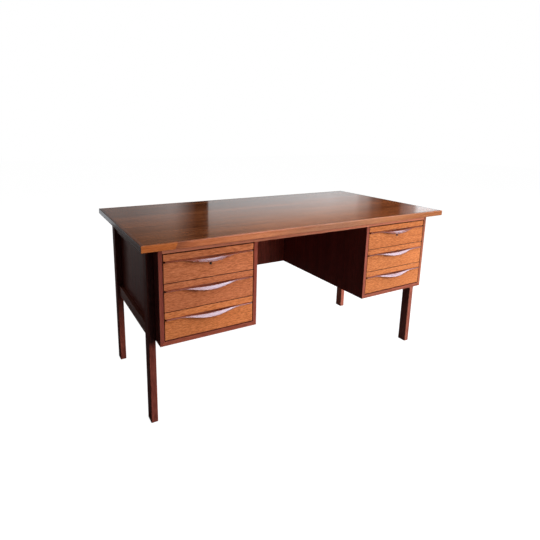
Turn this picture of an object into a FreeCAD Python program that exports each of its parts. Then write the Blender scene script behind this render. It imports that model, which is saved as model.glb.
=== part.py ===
"""Double-sided pedestal desk: six drawers with carved lip pulls on the front,
open bookcase niches on the back, on four plank legs joined in end frames.

Frame: millimetres, +Z up, origin on the floor under the middle of the desk.
The front (drawer side) faces -Y, the desk's length runs along X.
"""
import FreeCAD, Part
import Sketcher
import os

V = FreeCAD.Vector
doc = FreeCAD.newDocument("PedestalDesk")

# ---------------------------------------------------------------- dimensions
ROWS = [
    ("desk_w", 1500.0, "overall length of the top"),
    ("desk_d", 740.0, "overall depth of the top"),
    ("desk_ht", 730.0, "height of the writing surface"),
    ("top_thk", 24.0, "thickness of the top and its lippings"),
    ("lipping_w", 12.0, "width of the solid edge lippings"),
    ("lipping_rnd", 2.2, "rounding of the lippings' outer edges"),
    ("carc_w", 1368.0, "length over the outer sides"),
    ("carc_d", 668.0, "depth of the pedestals"),
    ("ped_z", 338.0, "underside of the pedestals"),
    ("ped_w", 397.0, "width of one pedestal"),
    ("board_thk", 16.0, "thickness of the pedestal boards"),
    ("board_rnd", 1.2, "rounding of the pedestal boards' long edges"),
    ("edge_rnd", 0.8, "slight rounding of the outer board edges"),
    ("frail_ht", 22.0, "height of the front top rail"),
    ("frail_dp", 44.0, "depth of the front top rail"),
    ("rrail_dp", 22.0, "depth of the rear top rails"),
    ("leg_thk", 27.0, "leg, across the desk's end"),
    ("leg_dp", 45.0, "leg, along the desk's end"),
    ("leg_span", 468.0, "clear distance between the legs of one end"),
    ("leg_rnd", 3.0, "rounding of the legs' long edges"),
    ("srail_thk", 18.0, "thickness of the side rails"),
    ("lrail_z", 337.0, "underside of the lower side rails"),
    ("lrail_ht", 44.0, "height of the lower side rails"),
    ("urail_ht", 64.0, "height of the upper side rails"),
    ("tenon_thk", 8.0, "thickness of the rail tenons"),
    ("tenon_len", 18.0, "length of the rail tenons"),
    ("tenon_sh", 7.0, "shoulder above and below a tenon"),
    ("part_y", 118.0, "front face of the partition behind the drawers"),
    ("part_thk", 12.0, "thickness of that partition"),
    ("modesty_thk", 12.5, "thickness of the modesty panel"),
    ("tongue_thk", 6.0, "thickness of the modesty panel's tongues"),
    ("tongue_len", 6.0, "length of the modesty panel's tongues"),
    ("shelf_z", 517.0, "underside of the rear shelves"),
    ("shelf_thk", 16.0, "thickness of the rear shelves"),
    ("shelf_dp", 195.0, "depth of the rear shelves"),
    ("pin_r", 3.0, "radius of a shelf pin"),
    ("pin_in", 9.0, "length of a shelf pin in the side"),
    ("pin_out", 9.0, "length of a shelf pin under the shelf"),
    ("runner_w", 8.0, "runner strip, standing out of the side"),
    ("runner_ht", 10.0, "runner strip, height"),
    ("runner_len", 400.0, "runner strip, length"),
    ("runner_y", -300.0, "front end of the runner strips"),
    ("runner_up", 40.0, "underside of a runner above the drawer's lower edge"),
    ("cleat_wd", 20.0, "cleats under the top, square section"),
    ("drw_z", 359.0, "lower edge of the lowest drawer front"),
    ("drw_pitch", 107.85, "pitch of the drawers"),
    ("drw_ht", 105.0, "height of a drawer front"),
    ("drw_gap", 2.5, "gap between drawer front and pedestal side"),
    ("drw_rec", 0.5, "drawer front behind the pedestal's front edge"),
    ("front_thk", 18.0, "thickness of a drawer front"),
    ("front_rnd", 0.9, "rounding of a drawer front's edges"),
    ("lip_up", 81.5, "lower edge of the upper strip above the front's lower edge"),
    ("lip_ledge", 5.5, "lip pull, projection at its ends"),
    ("lip_bulge", 13.0, "lip pull, further projection at the middle"),
    ("lip_drop", 3.3, "lip pull, front edge below the upper strip, at the ends"),
    ("lip_dip", 14.3, "lip pull, further drop at the middle"),
    ("lip_half", 126.0, "half length of the eyelid"),
    ("lip_root", 8.2, "lip pull, height at the ends"),
    ("lip_rootdip", 14.8, "lip pull, further height at the middle"),
    ("lip_shy", 6.0, "lip pull, ends short of the drawer front's ends"),
    ("lip_pocket", 12.0, "depth of the pocket that holds the lip pull"),
    ("lip_scoop", 8.5, "depth of the finger recess behind the front's face"),
    ("dside_thk", 12.0, "thickness of a drawer side"),
    ("dside_ht", 84.0, "height of a drawer side"),
    ("dside_up", 3.0, "lower edge of a drawer side above the front's lower edge"),
    ("dside_back", 96.0, "rear end of a drawer side"),
    ("dlap", 6.0, "drawer side let into the front"),
    ("dback_thk", 12.0, "thickness of a drawer back"),
    ("dback_in", 4.0, "drawer back let into the sides"),
    ("dbot_thk", 5.0, "thickness of a drawer bottom"),
    ("dbot_in", 5.0, "drawer bottom let into sides and front"),
    ("dbot_up", 8.0, "underside of a drawer bottom above the front's lower edge"),
    ("key_drop", 29.8, "keyhole's middle below the upper strip's lower edge"),
    ("key_w", 9.0, "keyhole liner, width"),
    ("key_h", 13.0, "keyhole liner, height"),
    ("key_rim", 1.5, "keyhole liner, rim"),
    ("key_dp", 10.0, "keyhole liner, depth in the wood"),
    ("key_proud", 0.6, "keyhole liner, standing proud"),
    ("lock_w", 36.0, "lock case, width"),
    ("lock_h", 60.0, "lock case, height"),
    ("lock_thk", 11.0, "lock case, thickness"),
    ("lock_top", 2.3, "lock case below the drawer front's upper edge"),
    ("bolt_w", 11.8, "lock bolt, width"),
    ("bolt_thk", 4.8, "lock bolt, thickness"),
    ("bolt_len", 41.0, "lock bolt, length"),
    ("bolt_fit", 0.1, "clearance round the lock bolt"),
    ("screw_r", 2.25, "wood screw, shank radius"),
    ("screw_hr", 4.3, "wood screw, head radius"),
    ("screw_hd", 3.2, "wood screw, depth of the countersunk head"),
    ("screw_fit", 0.05, "clearance round a screw"),
    ("screw_len", 32.0, "wood screws into legs and rails"),
    ("tscrew_len", 38.0, "wood screws into the top"),
]
sheet = doc.addObject("Spreadsheet::Sheet", "Sizes")
for n, (alias, value, note) in enumerate(ROWS, start=1):
    sheet.set("A%d" % n, note)
    sheet.set("B%d" % n, "%g" % value)
    sheet.setAlias("B%d" % n, alias)
doc.recompute()


class Dim:
    """A size with its value and the sheet expression that drives it."""

    def __init__(self, v, e):
        self.v = float(v)
        self.e = e

    @staticmethod
    def of(q):
        return q if isinstance(q, Dim) else Dim(q, "%.9g" % q)

    def __add__(self, o):
        o = Dim.of(o)
        return Dim(self.v + o.v, "(%s + %s)" % (self.e, o.e))

    def __radd__(self, o):
        return Dim.of(o) + self

    def __sub__(self, o):
        o = Dim.of(o)
        return Dim(self.v - o.v, "(%s - %s)" % (self.e, o.e))

    def __rsub__(self, o):
        return Dim.of(o) - self

    def __mul__(self, o):
        o = Dim.of(o)
        return Dim(self.v * o.v, "(%s * %s)" % (self.e, o.e))

    def __rmul__(self, o):
        return Dim.of(o) * self

    def __truediv__(self, o):
        o = Dim.of(o)
        return Dim(self.v / o.v, "(%s / %s)" % (self.e, o.e))

    def __neg__(self):
        return Dim(-self.v, "(0 - %s)" % self.e)


S = {alias: Dim(sheet.get(alias), "Sizes.%s" % alias) for alias, _, _ in ROWS}
PARTS = []          # the sub-parts that are written out
SOLIDS = {}         # solids expected in each one


def keep(obj, label, solids=1):
    obj.Label = label
    PARTS.append(obj)
    SOLIDS[label] = solids
    return obj


def bind(obj, prop, q):
    obj.setExpression(prop, Dim.of(q).e)


def place(obj, x, y, z):
    for axis, q in zip("xyz", (x, y, z)):
        bind(obj, "Placement.Base." + axis, q)


def span(a, b):
    a, b = Dim.of(a), Dim.of(b)
    return (a, b) if a.v <= b.v else (b, a)


def box(name, x, y, z):
    """Rectangular block between two corners."""
    x, y, z = span(*x), span(*y), span(*z)
    o = doc.addObject("Part::Box", name)
    bind(o, "Length", x[1] - x[0])
    bind(o, "Width", y[1] - y[0])
    bind(o, "Height", z[1] - z[0])
    place(o, x[0], y[0], z[0])
    return o


ROT = {
    "+z": FreeCAD.Rotation(),
    "+x": FreeCAD.Rotation(V(0, 0, 1), V(1, 0, 0)),
    "-x": FreeCAD.Rotation(V(0, 0, 1), V(-1, 0, 0)),
    "+y": FreeCAD.Rotation(V(0, 0, 1), V(0, 1, 0)),
    "-y": FreeCAD.Rotation(V(0, 0, 1), V(0, -1, 0)),
}


def cyl(name, at, way, r, length):
    o = doc.addObject("Part::Cylinder", name)
    o.Placement = FreeCAD.Placement(V(0, 0, 0), ROT[way])
    bind(o, "Radius", r)
    bind(o, "Height", length)
    place(o, *at)
    return o


def cone(name, at, way, r1, r2, length):
    o = doc.addObject("Part::Cone", name)
    o.Placement = FreeCAD.Placement(V(0, 0, 0), ROT[way])
    bind(o, "Radius1", r1)
    bind(o, "Radius2", r2)
    bind(o, "Height", length)
    place(o, *at)
    return o


def fuse(name, objs):
    o = doc.addObject("Part::MultiFuse", name)
    o.Shapes = list(objs)
    o.Refine = True
    return o


def cut(name, base, tools):
    tools = list(tools)
    o = doc.addObject("Part::Cut", name)
    o.Base = base
    o.Tool = tools[0] if len(tools) == 1 else fuse(name + "_tools", tools)
    return o


def group(name, objs):
    o = doc.addObject("Part::Compound", name)
    o.Links = list(objs)
    return o


PLANE = {"xy": "XY_Plane", "xz": "XZ_Plane", "yz": "YZ_Plane"}


def prism(name, plane, pts, along, rnd=None, pick=None):
    """A body padded from a closed polygon.

    pts are (u, v) in the plane's own two row axes; along is the span on the
    third axis.  rnd rounds the edges that pick(edge) chooses.
    """
    pts = [(Dim.of(u), Dim.of(v)) for u, v in pts]
    u0 = min((p[0] for p in pts), key=lambda q: q.v)
    v0 = min((p[1] for p in pts), key=lambda q: q.v)
    loc = [(u - u0, v - v0) for u, v in pts]
    along = span(*along)
    body = doc.addObject("PartDesign::Body", name)
    sk = body.newObject("Sketcher::SketchObject", name + "_profile")
    base = [f for f in body.Origin.OriginFeatures if f.Role == PLANE[plane]][0]
    sk.AttachmentSupport = [(base, "")]
    sk.MapMode = "FlatFace"
    n = len(loc)
    for i in range(n):
        a, b = loc[i], loc[(i + 1) % n]
        sk.addGeometry(Part.LineSegment(V(a[0].v, a[1].v, 0), V(b[0].v, b[1].v, 0)), False)
    for i in range(n):
        sk.addConstraint(Sketcher.Constraint("Coincident", i, 2, (i + 1) % n, 1))
    for i, (u, v) in enumerate(loc):
        if abs(u.v) < 1e-9:
            sk.addConstraint(Sketcher.Constraint("PointOnObject", i, 1, -2))
        else:
            c = sk.addConstraint(Sketcher.Constraint("DistanceX", -1, 1, i, 1, u.v))
            sk.setExpression("Constraints[%d]" % c, u.e)
        if abs(v.v) < 1e-9:
            sk.addConstraint(Sketcher.Constraint("PointOnObject", i, 1, -1))
        else:
            c = sk.addConstraint(Sketcher.Constraint("DistanceY", -1, 1, i, 1, v.v))
            sk.setExpression("Constraints[%d]" % c, v.e)
    pad = body.newObject("PartDesign::Pad", name + "_pad")
    pad.Profile = sk
    bind(pad, "Length", along[1] - along[0])
    if plane == "xz":
        pad.Reversed = True
        place(body, u0, along[0], v0)
    elif plane == "xy":
        place(body, u0, v0, along[0])
    else:
        place(body, along[0], u0, v0)
    if rnd is not None:
        doc.recompute()
        names = ["Edge%d" % (i + 1) for i, e in enumerate(pad.Shape.Edges) if pick(e)]
        fil = body.newObject("PartDesign::Fillet", name + "_round")
        fil.Base = (pad, names)
        bind(fil, "Radius", rnd)
        body.Tip = fil
    return body


def slab(name, x, y, z, rnd=None, pick=None):
    """A rectangular board as a padded body, with chosen edges rounded."""
    x, y, z = span(*x), span(*y), span(*z)
    return prism(name, "xy", [(x[0], y[0]), (x[1], y[0]), (x[1], y[1]), (x[0], y[1])],
                 z, rnd, pick)


def runs(axis):
    """Edges along a row axis."""
    d = {"x": V(1, 0, 0), "y": V(0, 1, 0), "z": V(0, 0, 1)}[axis]

    def test(e):
        a, b = e.Vertexes[0].Point, e.Vertexes[-1].Point
        t = b - a
        return t.Length > 1e-6 and abs(t.normalize().dot(d)) > 0.999
    return test


def mid(e):
    return e.CenterOfMass


# ------------------------------------------------------------- derived sizes
half_w, half_d = S["desk_w"] / 2, S["desk_d"] / 2
under = S["desk_ht"] - S["top_thk"]                # underside of the top
cx, cy = S["carc_w"] / 2, S["carc_d"] / 2
in_o = cx - S["board_thk"]                         # inner face of an outer side
out_i = cx - S["ped_w"]                            # kneehole face of an inner side
in_i = out_i + S["board_thk"]                      # drawer face of an inner side
ped_c = (in_o + in_i) / 2                          # middle of a pedestal
floor_z = S["ped_z"] + S["board_thk"]              # top face of a pedestal's bottom
frail_z = under - S["frail_ht"]
leg_i, leg_o = S["leg_span"] / 2, S["leg_span"] / 2 + S["leg_dp"]
leg_x = cx + S["leg_thk"]
SIDES = (("left", -1), ("right", 1))


def mx(s, a, b):
    """Span in X, mirrored to the left for s = -1."""
    return span(a * s, b * s)


# ----------------------------------------------------------------------- top
iw, idp = half_w - S["lipping_w"], half_d - S["lipping_w"]
tz = (under, S["desk_ht"])
top_core = box("TopPanel", (-iw, iw), (-idp, idp), tz)


def outer_long(e):
    p = mid(e)
    return runs("x")(e) and p.y < 0.01


def outer_long_b(e):
    p = mid(e)
    return runs("x")(e) and p.y > S["lipping_w"].v - 0.01


def outer_end(e):
    p = mid(e)
    return runs("y")(e) and p.x < 0.01


def outer_end_r(e):
    p = mid(e)
    return runs("y")(e) and p.x > S["lipping_w"].v - 0.01


lip_f = prism("LippingFront", "xy", [(-half_w, -half_d), (half_w, -half_d), (iw, -idp), (-iw, -idp)],
              tz, S["lipping_rnd"], outer_long)
lip_b = prism("LippingBack", "xy", [(-iw, idp), (iw, idp), (half_w, half_d), (-half_w, half_d)],
              tz, S["lipping_rnd"], outer_long_b)
lip_l = prism("LippingLeft", "xy", [(-half_w, -half_d), (-iw, -idp), (-iw, idp), (-half_w, half_d)],
              tz, S["lipping_rnd"], outer_end)
lip_r = prism("LippingRight", "xy", [(iw, -idp), (half_w, -half_d), (half_w, half_d), (iw, idp)],
              tz, S["lipping_rnd"], outer_end_r)
keep(group("LippingLong", [lip_f, lip_b]), "top_lippings_long", 2)
keep(group("LippingEnds", [lip_l, lip_r]), "top_lippings_ends", 2)

# ------------------------------------------------------------------- screws
screws = []                 # countersunk wood screws, all in one group
HOLES = {}                  # clearance holes by board


def screw(board, into, at, way, length, through):
    """A countersunk screw: head flush at 'at', pointing along 'way'.

    board gets a countersunk hole 'through' deep, into gets a blind hole.
    """
    sgn = {"+x": V(1, 0, 0), "-x": V(-1, 0, 0), "+z": V(0, 0, 1)}[way]
    k = len(screws)

    def at_depth(q):
        q = Dim.of(q)
        return tuple(Dim.of(a) + q * c if c else Dim.of(a) for a, c in zip(at, sgn))
    r, hr, hd, fit = S["screw_r"], S["screw_hr"], S["screw_hd"], S["screw_fit"]
    body = fuse("Screw%d" % k, [cone("ScrewHead%d" % k, at_depth(0), way, hr, r, hd),
                                cyl("ScrewShank%d" % k, at_depth(hd - 0.2), way, r, length - hd - 3),
                                cone("ScrewTip%d" % k, at_depth(length - 3.2), way, r, 0.4, 3)])
    screws.append(body)
    HOLES.setdefault(board, []).extend([
        cyl("Clear%d" % k, at_depth(-1), way, r + fit, through + 2),
        cone("Sink%d" % k, at_depth(-0.1), way, hr + 0.2, r + fit, hd + 0.25)])
    HOLES.setdefault(into, []).append(
        cyl("Pilot%d" % k, at_depth(through - 1), way, r + fit, length - through + 1.3))


for nm, s in SIDES:
    way = "+x" if s > 0 else "-x"
    for fr, t in (("front", -1), ("rear", 1)):
        for z in (455, 570):
            screw("outer_side_" + nm, "leg_%s_%s" % (fr, nm),
                  (in_o * s, (leg_i + leg_o) / 2 * t, z), way, S["screw_len"], S["board_thk"])
    for y in (-90, 90):
        screw("outer_side_" + nm, "side_rail_upper_" + nm, (in_o * s, y, 668), way,
              S["screw_len"] - 2, S["board_thk"])
        screw("outer_side_" + nm, "side_rail_lower_" + nm, (in_o * s, y, 368), way,
              S["screw_len"] - 2, S["board_thk"])

# cleats in the corners under the top, one along each pedestal side and one
# along the modesty panel
cleats = {}
cw = S["cleat_wd"]
for nm, s in SIDES:
    cleats["outer_" + nm] = (mx(s, in_o - cw, in_o), (-280, 110))
    cleats["inner_" + nm] = (mx(s, in_i, in_i + cw), (-280, 110))
cleats["modesty"] = ((-270, 270), (cy - S["modesty_thk"] - cw, cy - S["modesty_thk"]))
for nm, (x, y) in cleats.items():
    x, y = span(*x), span(*y)
    if nm == "modesty":
        spots = [(-200, (y[0] + y[1]) / 2), (200, (y[0] + y[1]) / 2)]
    else:
        spots = [((x[0] + x[1]) / 2, -220), ((x[0] + x[1]) / 2, 50)]
    for a, b in spots:
        screw("cleat_" + nm, "top_panel", (a, b, under - cw), "+z", S["tscrew_len"], cw)

keep(cut("TopPanelDrilled", top_core, HOLES["top_panel"]), "top_panel")
cl = []
for nm, (x, y) in cleats.items():
    cl.append(cut("Cleat_" + nm, box("CleatBar_" + nm, x, y, (under - cw, under)), HOLES["cleat_" + nm]))
keep(group("Cleats", cl), "top_cleats", len(cl))

# ----------------------------------------------------- end frames: legs, rails
lr_z = (S["lrail_z"], S["lrail_z"] + S["lrail_ht"])
ur_z = (under - S["urail_ht"], under)
sh = S["tenon_sh"]
ten_x0 = cx + (S["srail_thk"] - S["tenon_thk"]) / 2
for nm, s in SIDES:
    tx = mx(s, ten_x0, ten_x0 + S["tenon_thk"])
    for fr, t in (("front", -1), ("rear", 1)):
        label = "leg_%s_%s" % (fr, nm)
        stock = slab("Stock_" + label, mx(s, cx, leg_x), span(leg_i * t, leg_o * t), (0, under),
                     S["leg_rnd"], runs("z"))
        morts = [box("Mort_%s_%d" % (label, i), tx, span((leg_i - 1) * t, (leg_i + S["tenon_len"] + 0.3) * t),
                     (z[0] + sh, z[1] - sh)) for i, z in enumerate((lr_z, ur_z))]
        keep(cut("Leg_" + label, stock, morts + HOLES[label]), label)
    for lvl, z in (("lower", lr_z), ("upper", ur_z)):
        label = "side_rail_%s_%s" % (lvl, nm)
        bar = slab("Bar_" + label, mx(s, cx, cx + S["srail_thk"]), (-leg_i, leg_i), z,
                   S["edge_rnd"], lambda e, s=s: runs("y")(e) and
                   (mid(e).x > S["srail_thk"].v - 0.01 if s > 0 else mid(e).x < 0.01))
        ten = box("Tenon_" + label, tx, (-(leg_i + S["tenon_len"]), leg_i + S["tenon_len"]),
                  (z[0] + sh, z[1] - sh))
        keep(cut("Rail_" + label, fuse("RailStock_" + label, [bar, ten]), HOLES[label]), label)

# ------------------------------------------------------------------ pedestals
def pin_hole(name, s_in, face, y):
    """Blind hole for a shelf pin."""
    way = "-x" if s_in > 0 else "+x"
    return cyl(name, (face + 1.0 * s_in, y, S["shelf_z"] - S["pin_r"]), way,
               S["pin_r"] + 0.1, S["pin_in"] + 1.2)


pins = []
PIN_Y = (165, 295)
for nm, s in SIDES:
    # outer side: mitred to the bottom
    o0, o1 = in_o * s, cx * s
    label = "outer_side_" + nm
    b = prism("Board_" + label, "xz", [(o1, S["ped_z"]), (o0, floor_z), (o0, under), (o1, under)], (-cy, cy),
              S["board_rnd"], runs("z"))
    tools = [pin_hole("Hole_%s_%d" % (label, i), -s, o0, y) for i, y in enumerate(PIN_Y)]
    keep(cut("Side_" + label, b, tools + HOLES[label]), label)
    # inner side: mitred to the bottom, notched round the front top rail, and
    # grooved on the kneehole side for the modesty panel's tongue
    i0, i1 = in_i * s, out_i * s
    label = "inner_side_" + nm
    b = prism("Board_" + label, "xz", [(i1, S["ped_z"]), (i0, floor_z), (i0, under), (i1, under)], (-cy, cy),
              S["board_rnd"], runs("z"))
    tools = [pin_hole("Hole_%s_%d" % (label, i), s, i0, y) for i, y in enumerate(PIN_Y)]
    tools.append(box("Notch_" + label, mx(s, out_i - 2, in_i + 2), (-cy - 2, -cy + S["frail_dp"]),
                     (frail_z, under + 2)))
    gy = cy - (S["modesty_thk"] - S["tongue_thk"]) / 2
    tools.append(box("Groove_" + label, mx(s, out_i - 2, out_i + S["tongue_len"]),
                     (gy - S["tongue_thk"], gy), (floor_z, under + 2)))
    keep(cut("Side_" + label, b, tools), label)
    # bottom, mitred at both ends
    label = "pedestal_bottom_" + nm
    keep(prism("Board_" + label, "xz",
               [(o1, S["ped_z"]), (i1, S["ped_z"]), (i0, floor_z), (o0, floor_z)], (-cy, cy),
               S["board_rnd"], runs("x")), label)
    # partition behind the drawers
    keep(box("Partition_" + nm, mx(s, in_i, in_o), (S["part_y"], S["part_y"] + S["part_thk"]),
             (floor_z, under)), "partition_" + nm)
    # rear niche: top rail, shelf and its pins
    keep(slab("RearRail_" + nm, mx(s, in_i, in_o), (cy - S["rrail_dp"], cy), (frail_z, under),
              S["edge_rnd"], lambda e: runs("x")(e) and mid(e).y > S["rrail_dp"].v - 0.01 and mid(e).z < 1),
         "rear_top_rail_" + nm)
    sy0 = S["part_y"] + S["part_thk"] + 1
    keep(slab("Shelf_" + nm, mx(s, in_i + 0.5, in_o - 0.5), (sy0, sy0 + S["shelf_dp"]),
              (S["shelf_z"], S["shelf_z"] + S["shelf_thk"]), S["edge_rnd"],
              lambda e: runs("x")(e) and mid(e).y > S["shelf_dp"].v - 0.01), "rear_shelf_" + nm)
    for k, (face, s_in) in enumerate(((o0, -s), (i0, s))):
        for y in PIN_Y:
            way = "+x" if s_in > 0 else "-x"
            pins.append(cyl("Pin_%s_%d_%d" % (nm, k, y), (face - S["pin_in"] * s_in, y, S["shelf_z"] - S["pin_r"]),
                            way, S["pin_r"], S["pin_in"] + S["pin_out"]))
keep(group("ShelfPins", pins), "shelf_pins", len(pins))

# modesty panel with a tongue on each end
gy = cy - (S["modesty_thk"] - S["tongue_thk"]) / 2
keep(fuse("ModestyPanel", [
    slab("ModestyBoard", (-out_i, out_i), (cy - S["modesty_thk"], cy), (S["ped_z"], under)),
    box("ModestyTongues", (-out_i - S["tongue_len"], out_i + S["tongue_len"]),
        (gy - S["tongue_thk"], gy), (floor_z, under))]), "modesty_panel")

# front top rail with a mortise over each lock
fr_bar = slab("FrontRailBar", (-in_o, in_o), (-cy, -cy + S["frail_dp"]), (frail_z, under),
              S["edge_rnd"], lambda e: runs("x")(e) and mid(e).y < 0.01 and mid(e).z < 1)
front_y = -cy + S["drw_rec"]                       # face of the drawer fronts
back_y = front_y + S["front_thk"]                  # their back
bolt_y = (back_y + (S["lock_thk"] - S["bolt_thk"]) / 2,
          back_y + (S["lock_thk"] + S["bolt_thk"]) / 2)
morts = []
for nm, s in SIDES:
    c = ped_c * s
    morts.append(box("BoltMortise_" + nm, (c - S["bolt_w"] / 2 - 1.2, c + S["bolt_w"] / 2 + 1.2),
                     (bolt_y[0] - 1.2, bolt_y[1] + 1.2), (frail_z - 2, frail_z + 11)))
keep(cut("FrontRail", fr_bar, morts), "front_top_rail")

# -------------------------------------------------------------------- drawers
LIP_STEPS = 24              # sections along a lip pull


def stations(half):
    return [half * (2.0 * k / LIP_STEPS - 1.0) for k in range(LIP_STEPS + 1)]


def eyelid(x):
    """Height of the eyelid's swell along the drawer, 1 in the middle, 0 at its tips."""
    t = min(1.0, abs(x) / S["lip_half"].v)
    return (1.0 - t * t) ** 2


def lip_solid(xc, yf, zl, half):
    """Carved lip pull: sections across the drawer front, lofted along it."""
    xs = stations(half)
    pk, sc = S["lip_pocket"].v, S["lip_scoop"].v
    wires = []
    for x in xs:
        s = eyelid(x)

        def P(y, z):
            return V(xc + x, yf + y, zl + z)
        proud = S["lip_ledge"].v + S["lip_bulge"].v * s
        drop = S["lip_drop"].v + S["lip_dip"].v * s
        root = S["lip_root"].v + S["lip_rootdip"].v * s
        a, b = P(pk, -root), P(pk, 0)
        c = P(1.5 + sc * s, 0)
        d = P(1.3 + (sc - 0.5) * s, -1.0 - 6.0 * s)
        e1 = P(0.1 + 4.4 * s, -1.7 - 9.3 * s)       # bottom of the finger recess
        k = P(-1.9 - 3.6 * s, -1.8 - 4.4 * s)       # crest of the lip
        e2 = P(-4.0 - 8.2 * s, -2.3 - 9.3 * s)
        f = P(-proud, -drop)
        g = P(-proud + 0.4, -drop - 1.6 - 0.8 * s)
        i = P(0, -root)
        scoop = Part.BSplineCurve()
        scoop.interpolate([c, d, e1, k, e2, f])
        wires.append(Part.Wire([Part.LineSegment(a, b).toShape(), Part.LineSegment(b, c).toShape(),
                                scoop.toShape(), Part.LineSegment(f, g).toShape(),
                                Part.LineSegment(g, i).toShape(), Part.LineSegment(i, a).toShape()]))
    return Part.makeLoft(wires, True, False)


def lip_pocket(xc, yf, zl, half):
    """Rough pocket in the front board: straight above, following the eyelid
    below, a little inside the lip pull, which then finishes it to its own shape."""
    xs = stations(half + 1.0)
    low = Part.BSplineCurve()
    low.interpolate([V(xc + x, yf - 1, zl - S["lip_root"].v - S["lip_rootdip"].v * eyelid(x) + 1.4) for x in xs])
    p0, p1 = low.StartPoint, low.EndPoint
    q0, q1 = V(p0.x, p0.y, zl), V(p1.x, p1.y, zl)
    w = Part.Wire([low.toShape(), Part.LineSegment(p1, q1).toShape(),
                   Part.LineSegment(q1, q0).toShape(), Part.LineSegment(q0, p0).toShape()])
    return Part.Face(w).extrude(V(0, S["lip_pocket"].v + 0.5, 0))


def feature(name, shape):
    o = doc.addObject("Part::Feature", name)
    o.Shape = shape
    o.Placement = FreeCAD.Placement()
    return o


def stadium(name, xc, zc, w, h, y):
    """Upright slot shape with round ends."""
    y = span(*y)
    half = (h - w) / 2
    return fuse(name, [box(name + "_b", (xc - w / 2, xc + w / 2), y, (zc - half, zc + half)),
                       cyl(name + "_t", (xc, y[0], zc + half), "+y", w / 2, y[1] - y[0]),
                       cyl(name + "_l", (xc, y[0], zc - half), "+y", w / 2, y[1] - y[0])])


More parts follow.
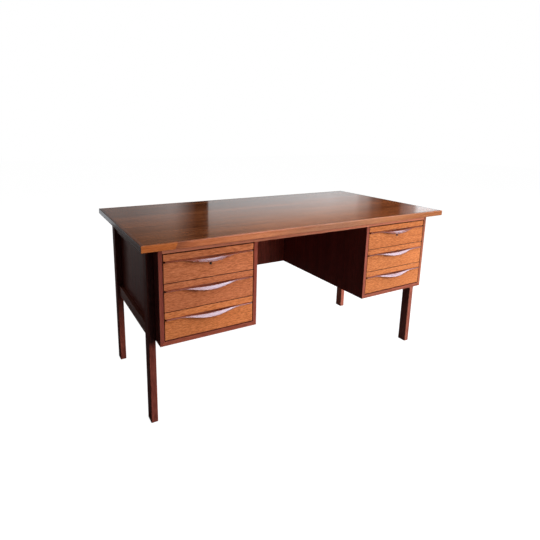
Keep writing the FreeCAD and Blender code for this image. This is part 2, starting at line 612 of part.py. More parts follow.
runners = {"left": [], "right": []}
LEVELS = (("top", 2), ("middle", 1), ("bottom", 0))
for nm, s in SIDES:
    xc = ped_c * s
    xa, xb = span(in_o * s, in_i * s)
    fx = (xa + S["drw_gap"], xb - S["drw_gap"])    # drawer, outside
    for lvl, k in LEVELS:
        tag = "drawer_%s_%s" % (nm, lvl)
        z0 = S["drw_z"] + S["drw_pitch"] * k
        z1 = z0 + S["drw_ht"]
        zl = z0 + S["lip_up"]
        half = (fx[1] - fx[0]) / 2
        # front board
        fb = slab("Front_" + tag, fx, (front_y, back_y), (z0, z1), S["front_rnd"],
                  lambda e: (mid(e).y < 0.01))
        pull = feature("Lip_" + tag, lip_solid(xc.v, front_y.v, zl.v, half.v - S["lip_shy"].v))
        fb = cut("FrontRough_" + tag, fb, [feature("Pocket_" + tag, lip_pocket(xc.v, front_y.v, zl.v, half.v))])
        tools = []
        for side, xx in (("a", (fx[0] - 1, fx[0] + S["dside_thk"])), ("b", (fx[1] - S["dside_thk"], fx[1] + 1))):
            tools.append(box("Rebate_%s_%s" % (tag, side), xx, (back_y - S["dlap"], back_y + 1),
                             (z0 + S["dside_up"], z0 + S["dside_up"] + S["dside_ht"])))
        dbz = (z0 + S["dbot_up"], z0 + S["dbot_up"] + S["dbot_thk"])
        bx = (fx[0] + S["dside_thk"] - S["dbot_in"], fx[1] - S["dside_thk"] + S["dbot_in"])
        tools.append(box("FrontGroove_" + tag, bx, (back_y - S["dbot_in"], back_y + 1), dbz))
        kz = zl - S["key_drop"]
        if lvl == "top":
            tools.append(stadium("KeyBore_" + tag, xc, kz, S["key_w"] + 0.1, S["key_h"] + 0.1,
                                 (front_y - 1, front_y + S["key_dp"])))
            tools.append(stadium("KeyWay_" + tag, xc, kz, S["key_w"] - S["key_rim"] * 2, S["key_h"] - S["key_rim"] * 2,
                                 (front_y, back_y + 1)))
        keep(cut("FrontFit_" + tag, cut("FrontCut_" + tag, fb, tools), [pull]), tag + "_front")
        keep(pull, tag + "_pull")
        # box: two sides and a back
        sz = (z0 + S["dside_up"], z0 + S["dside_up"] + S["dside_ht"])
        rz = (z0 + S["runner_up"], z0 + S["runner_up"] + S["runner_ht"])
        ry = (S["runner_y"], S["runner_y"] + S["runner_len"])
        by = (S["dside_back"] - 2 - S["dback_thk"], S["dside_back"] - 2)
        frame = []
        for side, x, inn in (("a", fx[0], 1), ("b", fx[1], -1)):
            wall = (xa if inn > 0 else xb)
            stock = box("Stile_%s_%s" % (tag, side), span(x, x + S["dside_thk"] * inn),
                        (back_y - S["dlap"], S["dside_back"]), sz)
            gd = S["runner_w"] - S["drw_gap"] + 0.5
            t = [box("RunGroove_%s_%s" % (tag, side), span(x - 1.0 * inn, x + gd * inn),
                     (S["runner_y"] - 6, S["dside_back"] + 1), (rz[0] - 0.8, rz[1] + 0.4)),
                 box("Housing_%s_%s" % (tag, side), span(x + (S["dside_thk"] - S["dback_in"]) * inn, x + (S["dside_thk"] + 1) * inn),
                     by, (dbz[1], sz[1] + 1)),
                 box("BotGroove_%s_%s" % (tag, side), span(x + (S["dside_thk"] - S["dbot_in"]) * inn, x + (S["dside_thk"] + 1) * inn),
                     (back_y - S["dlap"] - 1, S["dside_back"] + 1), dbz)]
            frame.append(cut("Side_%s_%s" % (tag, side), stock, t))
            runners[nm].append(box("Runner_%s_%s" % (tag, side), span(wall, wall + S["runner_w"] * inn), ry, rz))
        frame.append(box("Back_" + tag,
                         (fx[0] + S["dside_thk"] - S["dback_in"], fx[1] - S["dside_thk"] + S["dback_in"]),
                         by, (dbz[1], sz[1] - 6)))
        keep(group("Box_" + tag, frame), tag + "_box", 3)
        # bottom, slid in from the back under the drawer back
        keep(box("Bottom_" + tag, bx, (back_y - S["dbot_in"], by[1]), dbz), tag + "_bottom")
        # lock of the top drawer: keyhole liner, case and bolt
        if lvl == "top":
            liner = stadium("Liner_" + tag, xc, kz, S["key_w"], S["key_h"],
                            (front_y - S["key_proud"], front_y + S["key_dp"] - 0.05))
            keep(cut("LinerCut_" + tag, liner, [stadium("LinerHole_" + tag, xc, kz, S["key_w"] - S["key_rim"] * 2,
                                                        S["key_h"] - S["key_rim"] * 2,
                                                        (front_y - 3, front_y + S["key_dp"] + 1))]),
                 "keyhole_liner_" + nm)
            lt = z1 - S["lock_top"]
            case = box("Case_" + nm, (xc - S["lock_w"] / 2, xc + S["lock_w"] / 2),
                       (back_y, back_y + S["lock_thk"]), (lt - S["lock_h"], lt))
            fit = S["bolt_fit"]
            bz = (z1 - 0.8 - S["bolt_len"], z1 - 0.8)
            chan = box("BoltWay_" + nm, (xc - S["bolt_w"] / 2 - fit, xc + S["bolt_w"] / 2 + fit),
                       (bolt_y[0] - fit, bolt_y[1] + fit), (bz[0] - 1, lt + 2))
            kh = stadium("CaseKey_" + nm, xc, kz, S["key_w"] - S["key_rim"] * 2, S["key_h"] - S["key_rim"] * 2,
                         (back_y - 1, bolt_y[1]))
            keep(cut("CaseCut_" + nm, case, [chan, kh]), "lock_case_" + nm)
            keep(box("Bolt_" + nm, (xc - S["bolt_w"] / 2, xc + S["bolt_w"] / 2), bolt_y, bz), "lock_bolt_" + nm)
    keep(group("Runners_" + nm, runners[nm]), "drawer_runners_" + nm, 6)

keep(group("WoodScrews", screws), "wood_screws", len(screws))

# ------------------------------------------------------------- check and write
doc.recompute()
for o in doc.Objects:
    if "Invalid" in o.State or "Error" in o.State:
        raise RuntimeError("%s did not build: %s" % (o.Name, o.State))
for p in PARTS:
    sh_ = p.Shape
    if sh_.isNull() or not sh_.isValid():
        raise RuntimeError("%s has no valid shape" % p.Label)
    if len(sh_.Solids) != SOLIDS[p.Label]:
        raise RuntimeError("%s has %d solids, not %d" % (p.Label, len(sh_.Solids), SOLIDS[p.Label]))
os.makedirs("parts", exist_ok=True)
for p in PARTS:
    p.Shape.exportStep("parts/%s.step" % p.Label)
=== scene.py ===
import math

import bpy
import bmesh
import numpy as np
from mathutils import Matrix, Vector


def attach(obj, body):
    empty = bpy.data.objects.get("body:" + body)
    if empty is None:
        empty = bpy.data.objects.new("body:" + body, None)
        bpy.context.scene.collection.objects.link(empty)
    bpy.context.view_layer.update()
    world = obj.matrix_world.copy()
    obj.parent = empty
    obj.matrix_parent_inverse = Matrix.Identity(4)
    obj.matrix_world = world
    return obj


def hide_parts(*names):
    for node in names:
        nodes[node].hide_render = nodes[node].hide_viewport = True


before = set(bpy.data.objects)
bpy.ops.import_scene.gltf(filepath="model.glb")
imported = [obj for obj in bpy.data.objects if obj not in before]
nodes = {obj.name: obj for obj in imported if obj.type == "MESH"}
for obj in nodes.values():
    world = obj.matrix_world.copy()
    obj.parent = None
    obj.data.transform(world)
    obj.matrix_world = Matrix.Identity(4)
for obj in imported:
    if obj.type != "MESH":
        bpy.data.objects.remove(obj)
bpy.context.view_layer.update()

scene = bpy.context.scene


# ------------------------------------------------------------------ utilities
def lin(r, g, b):
    """Colour given as 0-255 screen values, as linear light."""
    out = []
    for c in (r, g, b):
        c = c / 255.0
        out.append(c / 12.92 if c <= 0.04045 else ((c + 0.055) / 1.055) ** 2.4)
    return (out[0], out[1], out[2], 1.0)


class Tree:
    """Small helper that adds and wires shader nodes."""

    def __init__(self, tree):
        self.t = tree
        self.t.nodes.clear()

    def add(self, kind, props=None, **ins):
        n = self.t.nodes.new(kind)
        for k, v in (props or {}).items():
            setattr(n, k, v)
        for k, v in ins.items():
            self.put(n.inputs[k.replace("_", " ")] if k.replace("_", " ") in n.inputs else n.inputs[k], v)
        return n

    def put(self, socket, v):
        if isinstance(v, bpy.types.NodeSocket):
            self.t.links.new(v, socket)
        else:
            socket.default_value = v

    def math(self, op, a, b=None, c=None, clamp=False):
        n = self.t.nodes.new("ShaderNodeMath")
        n.operation = op
        n.use_clamp = clamp
        for i, v in enumerate((a, b, c)):
            if v is not None:
                self.put(n.inputs[i], v)
        return n.outputs[0]

    def vec(self, x, y, z):
        n = self.t.nodes.new("ShaderNodeCombineXYZ")
        for i, v in enumerate((x, y, z)):
            self.put(n.inputs[i], v)
        return n.outputs[0]

    def noise(self, vector, detail=2.0, rough=0.5, scale=1.0, lac=2.0, distort=0.0):
        n = self.t.nodes.new("ShaderNodeTexNoise")
        n.noise_dimensions = "3D"
        self.put(n.inputs["Vector"], vector)
        self.put(n.inputs["Scale"], scale)
        self.put(n.inputs["Detail"], detail)
        self.put(n.inputs["Roughness"], rough)
        self.put(n.inputs["Lacunarity"], lac)
        self.put(n.inputs["Distortion"], distort)
        return n.outputs[0]

    def step(self, v, lo, hi, a=0.0, b=1.0):
        """Smooth step of v between lo and hi, to the range a..b."""
        n = self.t.nodes.new("ShaderNodeMapRange")
        n.interpolation_type = "SMOOTHSTEP"
        n.clamp = True
        for i, x in enumerate((v, lo, hi, a, b)):
            self.put(n.inputs[i], x)
        return n.outputs[0]

    def ramp(self, v, stops):
        n = self.t.nodes.new("ShaderNodeValToRGB")
        r = n.color_ramp
        r.interpolation = "LINEAR"
        while len(r.elements) < len(stops):
            r.elements.new(0.5)
        for e, (p, c) in zip(r.elements, stops):
            e.position = p
            e.color = c
        self.put(n.inputs[0], v)
        return n.outputs[0]

    def mix(self, fac, a, b, blend="MIX"):
        n = self.t.nodes.new("ShaderNodeMix")
        n.data_type = "RGBA"
        n.blend_type = blend
        n.clamp_factor = True
        self.put(n.inputs[0], fac)
        self.put(n.inputs[6], a)
        self.put(n.inputs[7], b)
        return n.outputs[2]


def material(name):
    m = bpy.data.materials.new(name)
    m.use_nodes = True
    return m, Tree(m.node_tree)


# -------------------------------------------------------------------- finishes
def wood(name, grain, seed, tones, worn, bands=0.7, rings=0.7, specks=0.8, fleck=0.35, pore=0.45, rough=0.34, coat=0.25,
         coat_rough=0.2, spec=0.5, bump=0.25, wear=0.6, patch=0.10, wander=0.02, dash=(34.0, 420.0), tint=None, gloss=None):
    """Finished hardwood. grain is the axis the fibres run along; tones are three
    colours from the dark to the light bands; worn is the colour of rubbed edges."""
    m, t = material(name)
    pos = t.add("ShaderNodeTexCoord").outputs["Object"]
    sep = t.add("ShaderNodeSeparateXYZ", Vector=pos).outputs
    a, b, c = {"x": (sep[0], sep[1], sep[2]), "y": (sep[1], sep[2], sep[0]), "z": (sep[2], sep[0], sep[1])}[grain]
    a = t.math("ADD", a, seed * 1.371)
    b = t.math("ADD", b, seed * 0.617)
    c = t.math("ADD", c, seed * 0.433)
    # the fibres wander a little across the board
    w1 = t.noise(t.vec(t.math("MULTIPLY", a, 1.6), t.math("MULTIPLY", b, 5.0), t.math("MULTIPLY", c, 5.0)), 2.0)
    w1 = t.math("MULTIPLY_ADD", w1, 2.0 * wander, -wander)
    b = t.math("ADD", b, w1)
    c = t.math("ADD", c, w1)

    def grid(la, lb):
        return t.vec(t.math("MULTIPLY", a, la), t.math("MULTIPLY", b, lb), t.math("MULTIPLY", c, lb))
    n1 = t.noise(grid(0.9, 26.0), 3.0, 0.55)        # broad bands
    n2 = t.noise(grid(2.5, 170.0), 3.0, 0.6)        # year rings
    n5 = t.noise(grid(*dash), 2.0, 0.6)             # short dashes
    n3 = t.noise(grid(60.0, 1000.0), 2.0, 0.55)     # fine flecks
    n4 = t.noise(grid(110.0, 2200.0), 1.0, 0.5)     # pores
    f = t.math("MULTIPLY", t.math("SUBTRACT", n1, 0.5), 1.5 * bands)
    f = t.math("MULTIPLY_ADD", t.math("SUBTRACT", n2, 0.5), 1.1 * rings, f)
    f = t.math("MULTIPLY_ADD", t.math("SUBTRACT", n5, 0.5), 1.3 * specks, f)
    f = t.math("MULTIPLY_ADD", t.math("SUBTRACT", n3, 0.5), 0.8 * specks, f)
    f = t.math("ADD", f, 0.5, clamp=True)
    dark, mid, light = tones
    col = t.ramp(f, [(0.12, dark), (0.5, mid), (0.88, light)])
    flk = t.step(n3, 0.57, 0.72)
    col = t.mix(t.math("MULTIPLY", flk, fleck), col, dark, "MIX")
    por = t.step(n4, 0.60, 0.72)
    col = t.mix(t.math("MULTIPLY", por, pore), col, (dark[0] * 0.45, dark[1] * 0.38, dark[2] * 0.38, 1.0), "MIX")
    # slow change of tone over the board
    big = t.noise(t.vec(t.math("MULTIPLY", a, 2.0), t.math("MULTIPLY", b, 4.0), t.math("MULTIPLY", c, 4.0)), 2.0)
    big = t.math("MULTIPLY_ADD", t.math("SUBTRACT", big, 0.5), 2.0 * patch, 1.0)
    col = t.mix(1.0, col, t.vec(big, big, big), "MULTIPLY")
    if tint is not None:
        col = tint(t, sep, col)
    # rubbed edges
    bev = t.add("ShaderNodeBevel", {"samples": 4}, Radius=0.0016).outputs[0]
    geo = t.add("ShaderNodeNewGeometry").outputs["Normal"]
    dot = t.add("ShaderNodeVectorMath", {"operation": "DOT_PRODUCT"})
    t.put(dot.inputs[0], bev)
    t.put(dot.inputs[1], geo)
    edge = t.step(dot.outputs["Value"], 0.995, 0.86)
    rub = t.noise(t.vec(t.math("MULTIPLY", a, 30.0), t.math("MULTIPLY", b, 60.0), t.math("MULTIPLY", c, 60.0)), 3.0)
    edge = t.math("MULTIPLY", edge, t.step(rub, 0.38, 0.62, 0.25, 1.0))
    col = t.mix(t.math("MULTIPLY", edge, wear), col, worn)
    # gloss follows the grain, with faint handling marks
    smear = t.noise(t.vec(t.math("MULTIPLY", a, 9.0), t.math("MULTIPLY", b, 14.0), t.math("MULTIPLY", c, 14.0)), 3.0, 0.6)
    r = t.math("MULTIPLY_ADD", t.math("SUBTRACT", n2, 0.5), 0.16, rough)
    r = t.math("MULTIPLY_ADD", t.math("SUBTRACT", smear, 0.5), 0.14, r)
    r = t.math("MULTIPLY_ADD", por, 0.12, r)
    r = t.math("MULTIPLY_ADD", edge, 0.05, r, clamp=True)
    if gloss is not None:
        r = gloss(t, sep, r)
    h = t.math("MULTIPLY_ADD", por, -0.7, t.math("MULTIPLY", n3, 0.6))
    h = t.math("MULTIPLY_ADD", n2, 0.5, h)
    nrm = t.add("ShaderNodeBump", Strength=bump, Distance=0.00035, Height=h, Normal=bev).outputs[0]
    p = t.add("ShaderNodeBsdfPrincipled", Base_Color=col, Roughness=r, Normal=nrm)
    p.inputs["IOR"].default_value = 1.5
    p.inputs["Specular IOR Level"].default_value = spec
    p.inputs["Coat Weight"].default_value = coat
    p.inputs["Coat Roughness"].default_value = coat_rough
    o = t.add("ShaderNodeOutputMaterial")
    t.t.links.new(p.outputs[0], o.inputs[0])
    return m


def metal(name, colour, rough, grime, scale):
    """Dull plated or aged metal with stains and fine scratches."""
    m, t = material(name)
    pos = t.add("ShaderNodeTexCoord").outputs["Object"]
    n1 = t.noise(pos, 4.0, 0.6, scale)
    n2 = t.noise(pos, 2.0, 0.5, scale * 7.0)
    col = t.mix(t.step(n1, 0.42, 0.68), colour, grime)
    r = t.math("MULTIPLY_ADD", n2, 0.25, rough - 0.1, clamp=True)
    nrm = t.add("ShaderNodeBump", Strength=0.15, Distance=0.0001, Height=n2).outputs[0]
    p = t.add("ShaderNodeBsdfPrincipled", Base_Color=col, Roughness=r, Normal=nrm)
    p.inputs["Metallic"].default_value = 1.0
    o = t.add("ShaderNodeOutputMaterial")
    t.t.links.new(p.outputs[0], o.inputs[0])
    return m


# tones: dark, middle and light bands
TOP = (lin(88, 42, 20), lin(138, 75, 39), lin(178, 104, 60))
LIP = (lin(146, 72, 34), lin(184, 98, 52), lin(206, 120, 68))
FRONT = (lin(149, 77, 45), lin(193, 111, 71), lin(215, 134, 90))
RAIL = (lin(152, 84, 63), lin(192, 115, 88), lin(210, 133, 103))
CARC = (lin(152, 70, 53), lin(192, 94, 75), lin(212, 114, 92))
EDGE = (lin(104, 48, 41), lin(131, 64, 54), lin(154, 81, 67))
FRAME = (lin(98, 44, 36), lin(128, 63, 52), lin(152, 80, 66))
# the rear right leg gets lighter tones than the others: painted light for the light it catches from the back right
LEGS = {"front_left": FRAME, "rear_left": FRAME, "front_right": (lin(108, 54, 43), lin(140, 77, 62), lin(164, 96, 78)),
        "rear_right": (lin(142, 76, 62), lin(178, 104, 86), lin(198, 124, 102))}
SIDES = {"left": EDGE, "right": (lin(110, 54, 38), lin(140, 73, 52), lin(162, 90, 66))}
RAILS = {"left": FRAME, "right": (lin(106, 54, 39), lin(136, 73, 53), lin(158, 90, 66))}
LOWS = {"left": (lin(120, 62, 50), lin(152, 86, 70), lin(176, 104, 86)), "right": RAILS["right"]}
BASE = (lin(110, 52, 42), lin(140, 72, 57), lin(162, 88, 70))
PALE = (lin(150, 112, 72), lin(182, 142, 98), lin(204, 166, 120))
PLY = (lin(170, 134, 92), lin(196, 160, 116), lin(212, 180, 138))
BEECH = (lin(150, 104, 68), lin(174, 126, 86), lin(192, 146, 104))


def paint(node, mat):
    ob = nodes[node]
    if not ob.data.materials:
        ob.data.materials.append(mat)
    for i in range(len(ob.data.materials)):
        ob.data.materials[i] = mat


def leaves(t, sep, col):
    """Veneer leaves of the top, laid side by side along the grain."""
    y = sep[1]
    k = t.step(y, -0.0885, -0.0875, 0.97, 1.06)
    k = t.math("MULTIPLY", k, t.step(y, 0.1415, 0.1425, 1.0, 0.94))
    k = t.math("MULTIPLY", k, t.step(y, -0.2605, -0.2595, 0.93, 1.0))
    return t.mix(1.0, col, t.vec(k, k, k), "MULTIPLY")


def gap_painted_shade(t, sep, col):
    """A drawer front's edges and keyway, the faces behind its front face, darkened with painted shade where they sit in
    the gaps.
    """
    # painted shade: every face lying behind the drawer's front face is darkened
    k = t.step(sep[1], -0.3329, -0.3317)
    return t.mix(k, col, t.mix(1.0, col, (0.30, 0.20, 0.18, 1.0), "MULTIPLY"))


def kneehole_painted_light(t, sep, col):
    """The left drawers' fronts are painted lighter towards the kneehole, painted light from the right. Every front's
    gap edges get painted shade.
    """
    # painted light: the left fronts brighten from 0.99 to 1.11 towards the kneehole
    g = t.step(sep[0], -0.64, -0.34, 0.99, 1.11)
    g = t.mix(t.step(sep[0], -0.1, 0.1), t.vec(g, g, g), (1.0, 1.0, 1.0, 1.0))
    return gap_painted_shade(t, sep, t.mix(1.0, col, g, "MULTIPLY"))


def lit_front_edge(gain):
    """A pedestal board whose front edge is painted lighter by a gain: painted light on the face turned towards the
    light.
    """
    def tint(t, sep, col):
        # painted light: only the face at the front edge is lightened
        k = t.step(sep[1], -0.3326, -0.3336)
        return t.mix(k, col, t.mix(1.0, col, (gain[0], gain[1], gain[2], 1.0), "MULTIPLY"))
    return tint


def sunned(t, sep, col):
    """The modesty panel's rear face has yellowed in the light."""
    k = t.step(sep[1], 0.326, 0.329)
    return t.mix(k, col, t.mix(1.0, col, (0.80, 0.98, 0.72, 1.0), "MULTIPLY"))


def long_lip(t, sep, col):
    """The long lippings are pieced: a lighter, yellower length at the left end,
    meeting the main length in a slanted joint, and the main length is paler about the
    middle, where arms have rubbed it and a painted sheen lies on the wear, and deeper at the right end."""
    slant = t.math("MULTIPLY_ADD", sep[2], -0.42, sep[0])
    k = t.step(slant, -0.9303, -0.9289)
    warm = t.mix(1.0, col, (1.04, 1.08, 0.88, 1.0), "MULTIPLY")
    far = t.step(slant, -0.929, -0.855)
    main = t.mix(1.0, col, t.mix(far, (0.60, 0.58, 0.66, 1.0), (1.0, 1.0, 1.1, 1.0)), "MULTIPLY")
    along = t.math("MULTIPLY_ADD", sep[0], 1.0 / 1.5, 0.5)
    # the pale bluish stops about the middle are rubbed wear plus a painted sheen
    stops = [(-0.50, 1.08, 1.22, 1.45), (-0.28, 1.00, 1.22, 1.60), (-0.10, 0.68, 0.95, 1.45), (0.10, 0.64, 1.02, 1.75), (0.36, 0.72, 1.00, 1.30), (0.70, 0.56, 0.70, 0.74)]
    tone = t.ramp(along, [((x + 0.75) / 1.5, (r / 3.0, g / 3.0, bl / 3.0, 1.0)) for x, r, g, bl in stops])
    main = t.mix(1.0, t.mix(1.0, main, tone, "MULTIPLY"), (3.0, 3.0, 3.0, 1.0), "MULTIPLY")
    return t.mix(k, warm, main)


paint("top_panel", wood("teak_top", "x", 3, TOP, lin(150, 100, 64), bands=0.8, rings=1.4, specks=0.9, rough=0.10, coat=0.4, coat_rough=0.05, fleck=0.3, pore=0.5, wear=0.1, bump=0.05, wander=0.012, tint=leaves))
paint("top_lippings_long", wood("teak_lipping_long", "x", 5, LIP, lin(214, 164, 138), rough=0.34, wear=0.8, tint=long_lip))
paint("top_lippings_ends", wood("teak_lipping_end", "y", 6, (lin(84, 44, 30), lin(112, 60, 40), lin(136, 76, 52)), lin(180, 140, 118), rough=0.2, wear=0.6, coat=0.55, coat_rough=0.1))
# painted light on the pedestals' front edges, strongest on the right pedestal
EDGE_LIGHT = {"left": (1.22, 1.16, 1.02), "right": (1.38, 1.62, 1.50)}
# the left pedestal's bottom drawer front gets lighter tones than the two above: painted light from low in front
FACES = {"left": ((lin(153, 80, 47), lin(198, 115, 74), lin(220, 138, 93)), FRONT, (lin(165, 87, 46), lin(213, 125, 73), lin(235, 150, 93))),
         "right": ((lin(149, 80, 42), lin(193, 115, 67), lin(215, 139, 86)),) * 3}
# the right pedestal's pulls get darker tones than the left's: painted shade for their darker hollows
LIPS = {"left": (lin(120, 58, 36), lin(146, 74, 50), lin(166, 90, 62)), "right": (lin(104, 50, 32), lin(126, 64, 45), lin(144, 79, 55))}
for i, s in enumerate(("left", "right")):
    paint("leg_front_" + s, wood("teak_leg_front_" + s, "z", 11 + i, LEGS["front_" + s], lin(176, 108, 86), specks=1.2, fleck=0.5, rough=0.42, spec=0.35, coat=0.1, wear=0.6))
    paint("leg_rear_" + s, wood("teak_leg_rear_" + s, "z", 13 + i, LEGS["rear_" + s], lin(176, 108, 86), specks=1.2, fleck=0.5, rough=0.42, spec=0.35, coat=0.1, wear=0.6))
    paint("side_rail_upper_" + s, wood("teak_rail_up_" + s, "y", 15 + i, RAILS[s], lin(150, 92, 76), rough=0.34, coat=0.35, wear=0.4))
    paint("side_rail_lower_" + s, wood("teak_rail_low_" + s, "y", 17 + i, LOWS[s], lin(190, 124, 104), rough=0.30, coat=0.8, coat_rough=0.16, wear=0.8))
    paint("outer_side_" + s, wood("teak_side_out_" + s, "z", 19 + i, SIDES[s], lin(170, 100, 80), rings=1.1, rough=0.32, coat=0.44, coat_rough=0.14, wear=0.35, tint=lit_front_edge(EDGE_LIGHT[s])))
    paint("inner_side_" + s, wood("teak_side_in_" + s, "z", 21 + i, EDGE, lin(170, 100, 80), bands=0.4, rough=0.5, spec=0.3, coat=0.0, wear=0.35, tint=lit_front_edge(EDGE_LIGHT[s])))
    paint("pedestal_bottom_" + s, wood("teak_bottom_" + s, "x", 23 + i, BASE, lin(190, 112, 90), rough=0.5, spec=0.25, coat=0.0, wear=0.5, tint=lit_front_edge(EDGE_LIGHT[s])))
    paint("rear_top_rail_" + s, wood("teak_rear_rail_" + s, "x", 25 + i, EDGE, lin(170, 96, 76)))
    paint("rear_shelf_" + s, wood("teak_shelf_" + s, "x", 27 + i, FRONT, lin(200, 130, 90)))
    paint("partition_" + s, wood("teak_partition_" + s, "x", 29 + i, EDGE, lin(150, 90, 66)))
    paint("drawer_runners_" + s, wood("beech_runner_" + s, "y", 31 + i, BEECH, lin(200, 160, 120), coat=0.0, rough=0.6))
    for j, l in enumerate(("top", "middle", "bottom")):
        d = "drawer_%s_%s_" % (s, l)
        k = 40 + 10 * i + 3 * j
        paint(d + "front", wood("teak_front_%s_%s" % (s, l), "x", k, FACES[s][j], lin(206, 140, 100), bands=0.25, rings=0.4, specks=1.2, rough=0.42, spec=0.35, coat=0.08, wear=0.5, patch=0.12, wander=0.004, dash=(58.0, 330.0), tint=kneehole_painted_light))
        paint(d + "pull", wood("teak_pull_%s_%s" % (s, l), "x", k + 0.5, LIPS[s], lin(186, 120, 98), rings=0.3, specks=0.4, rough=0.28, spec=1.0, coat=1.0, coat_rough=0.22, fleck=0.1, pore=0.2, bump=0.02, wear=0.2))
        paint(d + "box", wood("drawer_wood_%s_%s" % (s, l), "y", k + 1, PALE, lin(214, 180, 140), coat=0.0, rough=0.55))
        paint(d + "bottom", wood("plywood_%s_%s" % (s, l), "x", k + 2, PLY, lin(220, 190, 150), coat=0.0, rough=0.6))
paint("front_top_rail", wood("teak_front_rail", "x", 71, RAIL, lin(200, 130, 100)))
paint("modesty_panel", wood("teak_modesty", "z", 73, CARC, lin(120, 70, 50), rough=0.5, spec=0.3, coat=0.0, tint=sunned))
paint("top_cleats", wood("beech_cleats", "y", 75, BEECH, lin(200, 160, 120), coat=0.0, rough=0.6))
brass = metal("aged_brass", lin(176, 150, 96), 0.38, lin(110, 88, 52), 160.0)
nickel = metal("keyhole_nickel", lin(214, 206, 194), 0.3, lin(150, 140, 126), 260.0)
steel = metal("dull_steel", lin(150, 150, 150), 0.42, lin(96, 94, 90), 120.0)
paint("shelf_pins", brass)
for n in ("keyhole_liner_left", "keyhole_liner_right"):
    paint(n, nickel)
for n in ("lock_case_left", "lock_case_right", "lock_bolt_left", "lock_bolt_right", "wood_screws"):
    paint(n, steel)


# ------------------------------------------------------------------- lip pulls
def spline(pts, n):
    """Natural cubic spline through 2-D points, n points per span."""
    pts = np.array(pts, float)
    d = np.sqrt((np.diff(pts, axis=0) ** 2).sum(1))
    u = np.concatenate([[0.0], np.cumsum(d)])
    m = len(pts)
    A = np.zeros((m, m))
    B = np.zeros((m, 2))
    A[0, 0] = A[-1, -1] = 1.0
    for i in range(1, m - 1):
        h0, h1 = u[i] - u[i - 1], u[i + 1] - u[i]
        A[i, i - 1], A[i, i], A[i, i + 1] = h0, 2 * (h0 + h1), h1
        B[i] = 6 * ((pts[i + 1] - pts[i]) / h1 - (pts[i] - pts[i - 1]) / h0)
    M = np.linalg.solve(A, B)
    out = []
    for i in range(m - 1):
        h = u[i + 1] - u[i]
        for k in range(n + (i == m - 2)):
            x = h * k / n
            out.append(M[i] * (h - x) ** 3 / (6 * h) + M[i + 1] * x ** 3 / (6 * h)
                       + (pts[i] / h - M[i] * h / 6) * (h - x) + (pts[i + 1] / h - M[i + 1] * h / 6) * x)
    return out


def lip_profile(s):
    """Section of a lip pull in mm: y back from the drawer's face, z up from the
    upper strip's lower edge. s is 0 at the ends and 1 in the middle."""
    root = 8.2 + 14.8 * s
    c = (1.5 + 8.5 * s, 0.0)
    d = (1.3 + 8.0 * s, -1.0 - 6.0 * s)
    e = (0.1 + 4.4 * s, -1.7 - 9.3 * s)
    k = (-1.9 - 3.6 * s, -1.8 - 4.4 * s)
    e2 = (-4.0 - 8.2 * s, -2.3 - 9.3 * s)
    f = (-5.5 - 13.0 * s, -3.3 - 14.3 * s)
    g = (f[0] + 0.4, f[1] - 1.6 - 0.8 * s)
    top = spline([c, d, e, k, e2, f], 7)
    nose = [(f[0] * (1 - q) ** 2 + 2 * q * (1 - q) * (f[0] - 0.45) + q * q * g[0],
             f[1] * (1 - q) ** 2 + 2 * q * (1 - q) * (f[1] * 0.55 + g[1] * 0.45) + q * q * g[1]) for q in (0.25, 0.5, 0.75)]
    i = (0.0, -root)
    low = [(g[0] + (i[0] - g[0]) * q, g[1] + (i[1] - g[1]) * q) for q in (0, 0.2, 0.4, 0.6, 0.8, 1.0)]
    return [(12.0, 0.0)] + [tuple(p) for p in top] + nose + low + [(12.0, -root)]


def lip_pull(name, xc, yf, zl, half):
    xs = [half * math.copysign(abs(q) ** 1.0, q) for q in np.linspace(-1, 1, 161)]
    rings = []
    bm = bmesh.new()
    for x in xs:
        tt = min(1.0, abs(x) / 126.0)
        pr = lip_profile((1 - tt * tt) ** 2)
        rings.append([bm.verts.new(((xc + x) / 1000.0, (yf + y) / 1000.0, (zl + z) / 1000.0)) for y, z in pr])
    n = len(rings[0])
    for r0, r1 in zip(rings[:-1], rings[1:]):
        for i in range(n):
            j = (i + 1) % n
            bm.faces.new((r0[i], r0[j], r1[j], r1[i]))
    bm.faces.new(rings[0][::-1])
    bm.faces.new(rings[-1])
    bmesh.ops.recalc_face_normals(bm, faces=bm.faces)
    me = bpy.data.meshes.new(name)
    bm.to_mesh(me)
    bm.free()
    for p in me.polygons:
        p.use_smooth = True
    me.set_sharp_from_angle(angle=math.radians(50))
    ob = bpy.data.objects.new(name, me)
    scene.collection.objects.link(ob)
    return ob


for s, sx in (("left", -1), ("right", 1)):
    for j, l in enumerate(("top", "middle", "bottom")):
        node = "drawer_%s_%s_pull" % (s, l)
        z0 = 359.0 + 107.85 * (2 - j)
        ob = lip_pull("lip_%s_%s" % (s, l), 485.5 * sx, -333.5, z0 + 81.5, 174.0)
        ob.data.materials.append(nodes[node].data.materials[0])
        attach(ob, "drawer_%s_%s" % (s, l))
        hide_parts(node)


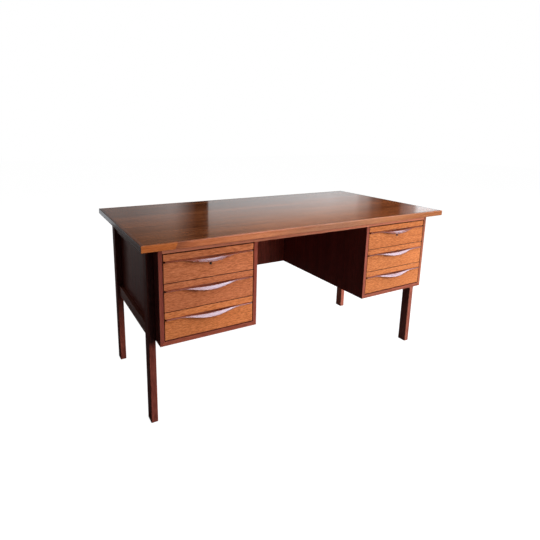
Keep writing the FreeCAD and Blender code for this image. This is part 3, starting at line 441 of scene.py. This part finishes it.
# ---------------------------------------------------------------- stage, camera
def floor():
    me = bpy.data.meshes.new("floor")
    s = 14.0
    me.from_pydata([(-s, -s, 0), (s, -s, 0), (s, s, 0), (-s, s, 0)], [], [(0, 1, 2, 3)])
    ob = bpy.data.objects.new("floor", me)
    scene.collection.objects.link(ob)
    ob.location.z = -0.0004
    m, t = material("floor_pale")
    pos = t.add("ShaderNodeTexCoord").outputs["Object"]
    n = t.noise(pos, 3.0, 0.5, 1.5)
    dull = t.add("ShaderNodeBsdfDiffuse", Color=t.ramp(n, [(0.3, (0.08, 0.08, 0.082, 1)), (0.7, (0.09, 0.09, 0.092, 1))]))
    pale = t.add("ShaderNodeBsdfDiffuse", Color=t.ramp(n, [(0.3, (0.155, 0.155, 0.155, 1)), (0.7, (0.165, 0.165, 0.162, 1))]))
    glow = t.add("ShaderNodeEmission", Color=(0.993, 0.993, 0.993, 1), Strength=1.0)
    lit = t.add("ShaderNodeAddShader")
    t.t.links.new(pale.outputs[0], lit.inputs[0])
    t.t.links.new(glow.outputs[0], lit.inputs[1])
    mx = t.add("ShaderNodeMixShader")
    t.put(mx.inputs[0], t.add("ShaderNodeLightPath").outputs["Is Camera Ray"])
    t.t.links.new(dull.outputs[0], mx.inputs[1])
    t.t.links.new(lit.outputs[0], mx.inputs[2])
    o = t.add("ShaderNodeOutputMaterial")
    t.t.links.new(mx.outputs[0], o.inputs[0])
    me.materials.append(m)


floor()

CAM = Vector((-1.08998, -1.67923, 1.10630))
yaw, pitch, roll = math.radians(29.1326), math.radians(12.0096), math.radians(-0.8601)
fwd = Vector((math.sin(yaw) * math.cos(pitch), math.cos(yaw) * math.cos(pitch), -math.sin(pitch)))
right = Vector((math.cos(yaw), -math.sin(yaw), 0.0))
down = fwd.cross(right)
rr = right * math.cos(roll) + down * math.sin(roll)
dd = -right * math.sin(roll) + down * math.cos(roll)
cam_data = bpy.data.cameras.new("camera")
cam = bpy.data.objects.new("camera", cam_data)
scene.collection.objects.link(cam)
cam.matrix_world = Matrix(((rr.x, -dd.x, -fwd.x, CAM.x), (rr.y, -dd.y, -fwd.y, CAM.y),
                           (rr.z, -dd.z, -fwd.z, CAM.z), (0, 0, 0, 1)))
cam_data.sensor_width = 36.0
cam_data.lens = 418.904 / 540.0 * 36.0
cam_data.shift_x = (270.0 - 246.105) / 540.0
cam_data.shift_y = -(270.0 - 218.857) / 540.0
cam_data.clip_start, cam_data.clip_end = 0.05, 60.0
scene.camera = cam


# ----------------------------------------------------------------------- light
def area(name, at, to, size, radiance, colour=(1, 1, 1), mirrored=True):
    """Soft light panel of a given brightness; mirrored panels show in glossy finishes."""
    d = bpy.data.lights.new(name, "AREA")
    d.shape = "RECTANGLE"
    d.size, d.size_y = size
    d.energy = radiance * math.pi * size[0] * size[1]
    d.color = colour
    ob = bpy.data.objects.new(name, d)
    scene.collection.objects.link(ob)
    ob.location = at
    ob.rotation_mode = "QUATERNION"
    ob.rotation_quaternion = (Vector(to) - Vector(at)).to_track_quat("-Z", "Y")
    ob.visible_camera = False
    ob.visible_glossy = mirrored
    return ob


def sky(name, at, size, radiance, colour):
    """Overhead light panel that fades out towards its edges."""
    ob = area(name, at, (at[0], at[1], 0.0), size, radiance, colour)
    ob.data.use_nodes = True
    lt = Tree(ob.data.node_tree)
    uv = lt.add("ShaderNodeSeparateXYZ", Vector=lt.add("ShaderNodeNewGeometry").outputs["Parametric"]).outputs
    fade = [lt.math("MULTIPLY", lt.step(q, 0.0, 0.30), lt.step(q, 1.0, 0.70)) for q in (uv[0], uv[1])]
    em = lt.add("ShaderNodeEmission", Strength=lt.math("MULTIPLY", fade[0], fade[1]))
    out = lt.add("ShaderNodeOutputLight")
    lt.t.links.new(em.outputs[0], out.inputs[0])


sky("sky_near", (1.07, -1.5, 2.9), (1.55, 2.5), 9.2, (0.77, 0.86, 1.08))
sky("sky_far", (3.65, -1.25, 2.9), (2.3, 2.2), 7.0, (0.77, 0.86, 1.08))
area("key_panel", (2.6, -2.4, 1.20), (0.1, -0.3, 0.5), (1.5, 1.7), 20.0, (1.0, 0.975, 0.93), False)
area("front_fill", (0.95, -3.7, 0.9), (0.0, 0.0, 0.5), (1.1, 1.2), 3.6, (1.0, 0.95, 0.9), False)
area("top_right", (1.10, -0.45, 1.30), (0.60, -0.25, 0.73), (0.6, 0.5), 5.2, (1.0, 0.90, 0.80), False)
area("top_front", (0.04, -0.36, 1.02), (0.04, -0.36, 0.73), (0.74, 0.08), 6.5, (1.0, 0.90, 0.80), False)
area("fill_left", (-4.0, -0.6, 1.2), (0.0, -0.2, 0.5), (3.0, 2.0), 0.17)


def pane(name, x, z, xs, zs):
    """Upright light panel behind the desk, between two x and two z values. Its
    brightness follows xs, a list of (x, value), and its colour zs, a list of (z, colour)."""
    xc, zc = (x[0] + x[1]) / 2.0, (z[0] + z[1]) / 2.0
    ob = area(name, (xc, 3.0, zc), (xc, 0.0, zc), (x[1] - x[0], z[1] - z[0]), 1.0)
    ob.data.use_nodes = True
    lt = Tree(ob.data.node_tree)
    uv = lt.add("ShaderNodeSeparateXYZ", Vector=lt.add("ShaderNodeNewGeometry").outputs["Parametric"]).outputs
    across = lt.ramp(lt.math("SUBTRACT", 1.0, uv[0]), [((q - x[0]) / (x[1] - x[0]), (v, v, v, 1.0)) for q, v in xs])
    up = lt.ramp(uv[1], [((q - z[0]) / (z[1] - z[0]), (c[0], c[1], c[2], 1.0)) for q, c in zs])
    em = lt.add("ShaderNodeEmission", Color=lt.mix(1.0, across, up, "MULTIPLY"), Strength=1.0)
    out = lt.add("ShaderNodeOutputLight")
    lt.t.links.new(em.outputs[0], out.inputs[0])


pane("window", (0.98, 3.98), (0.60, 1.85),
     [(0.98, 0.60), (2.90, 0.91), (3.42, 0.79), (3.50, 0.57), (3.66, 0.43), (3.78, 0.14), (3.98, 0.03)],
     [(1.28, (0.86, 0.94, 0.97)), (1.46, (0.82, 0.74, 0.69)), (1.53, (0.72, 0.60, 0.52)), (1.64, (0.43, 0.31, 0.24)), (1.85, (0.30, 0.20, 0.15))])
pane("window_far", (4.40, 6.80), (0.25, 1.80),
     [(4.40, 0.06), (4.75, 0.26), (4.84, 0.96), (5.00, 1.0)],
     [(0.25, (0.84, 0.95, 1.0)), (1.80, (0.84, 0.95, 1.0))])
bpy.data.lights["window_far"].energy *= 1.5
pane("wall_left", (-1.05, 0.86), (0.10, 1.80),
     [(-1.05, 0.52), (0.05, 0.64), (0.48, 0.98), (0.56, 0.88), (0.73, 0.22), (0.82, 0.0)],
     [(1.30, (0.40, 0.39, 0.385)), (1.46, (0.35, 0.245, 0.20)), (1.64, (0.25, 0.14, 0.09)), (1.80, (0.23, 0.13, 0.08))])
area("floor_left", (-1.38, 2.12, 0.9), (-1.38, 2.12, 0.0), (0.9, 2.0), 2.7, (1.0, 0.86, 0.79), False)
area("wall_low", (-1.7, 3.2, 0.35), (-0.8, 0.0, 0.6), (1.5, 1.0), 0.55, (0.9, 0.95, 1.0))

world = bpy.data.worlds.new("studio")
scene.world = world
world.use_nodes = True
wt = Tree(world.node_tree)
lp = wt.add("ShaderNodeLightPath").outputs["Is Camera Ray"]
bg1 = wt.add("ShaderNodeBackground", Color=(0.004, 0.004, 0.004, 1), Strength=1.0)
bg2 = wt.add("ShaderNodeBackground", Color=(1.0, 1.0, 1.0, 1), Strength=1.0)
mixw = wt.add("ShaderNodeMixShader")
wt.put(mixw.inputs[0], lp)
wt.t.links.new(bg1.outputs[0], mixw.inputs[1])
wt.t.links.new(bg2.outputs[0], mixw.inputs[2])
ow = wt.add("ShaderNodeOutputWorld")
wt.t.links.new(mixw.outputs[0], ow.inputs[0])
scene.view_settings.view_transform = "Standard"
scene.view_settings.look = "None"
